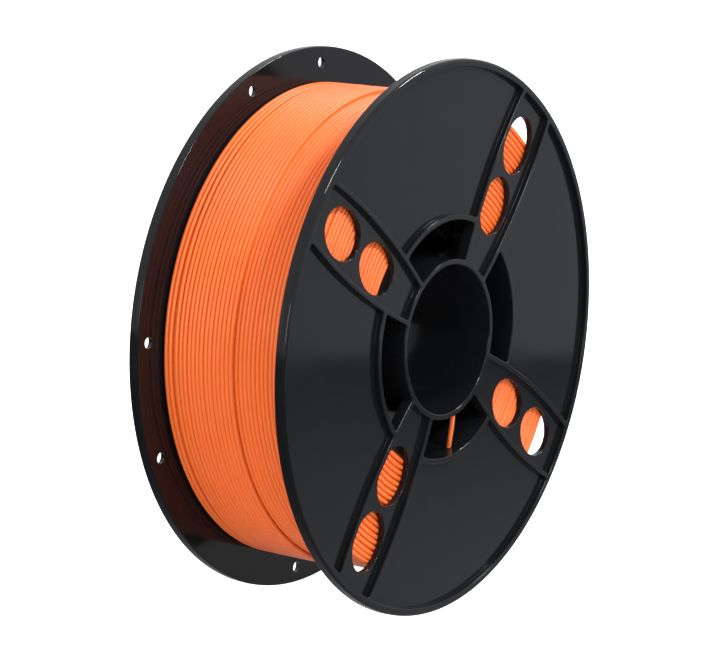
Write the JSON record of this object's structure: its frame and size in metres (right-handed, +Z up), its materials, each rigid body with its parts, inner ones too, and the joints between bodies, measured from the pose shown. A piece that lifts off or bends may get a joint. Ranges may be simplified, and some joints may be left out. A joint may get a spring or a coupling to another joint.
{
  "type": "filament spool",
  "caption": "Plastic spool of wound 3D-printer filament: two spoked flanges on a hollow drum with a central spindle bore.",
  "frame": {"origin": "middle of the bore, half way between the two flange faces", "axes": "+Y along the bore from the front flange to the rear flange, +Z up, front flange faces -Y"},
  "size_m": [0.2, 0.066, 0.2],
  "materials": {
    "black_spool_plastic": "black injection-moulded polystyrene, smooth and fairly glossy, with faint moulding ripple",
    "orange_filament": "orange extruded filament, satin, wound in fine side-by-side turns"
  },
  "bodies": {
    "root": {"core_catches": "black_spool_plastic", "core_latches": "black_spool_plastic", "filament_start_tail": "orange_filament", "filament_top_layer": "orange_filament", "filament_winding": "orange_filament", "front_bore_sleeve": "black_spool_plastic", "front_drum": "black_spool_plastic", "front_flange": "black_spool_plastic", "front_spoke_1": "black_spool_plastic", "front_spoke_2": "black_spool_plastic", "front_spoke_3": "black_spool_plastic", "front_spoke_4": "black_spool_plastic", "rear_bore_sleeve": "black_spool_plastic", "rear_drum": "black_spool_plastic", "rear_flange": "black_spool_plastic", "rear_spoke_1": "black_spool_plastic", "rear_spoke_2": "black_spool_plastic", "rear_spoke_3": "black_spool_plastic", "rear_spoke_4": "black_spool_plastic"}
  },
  "joints": []
}
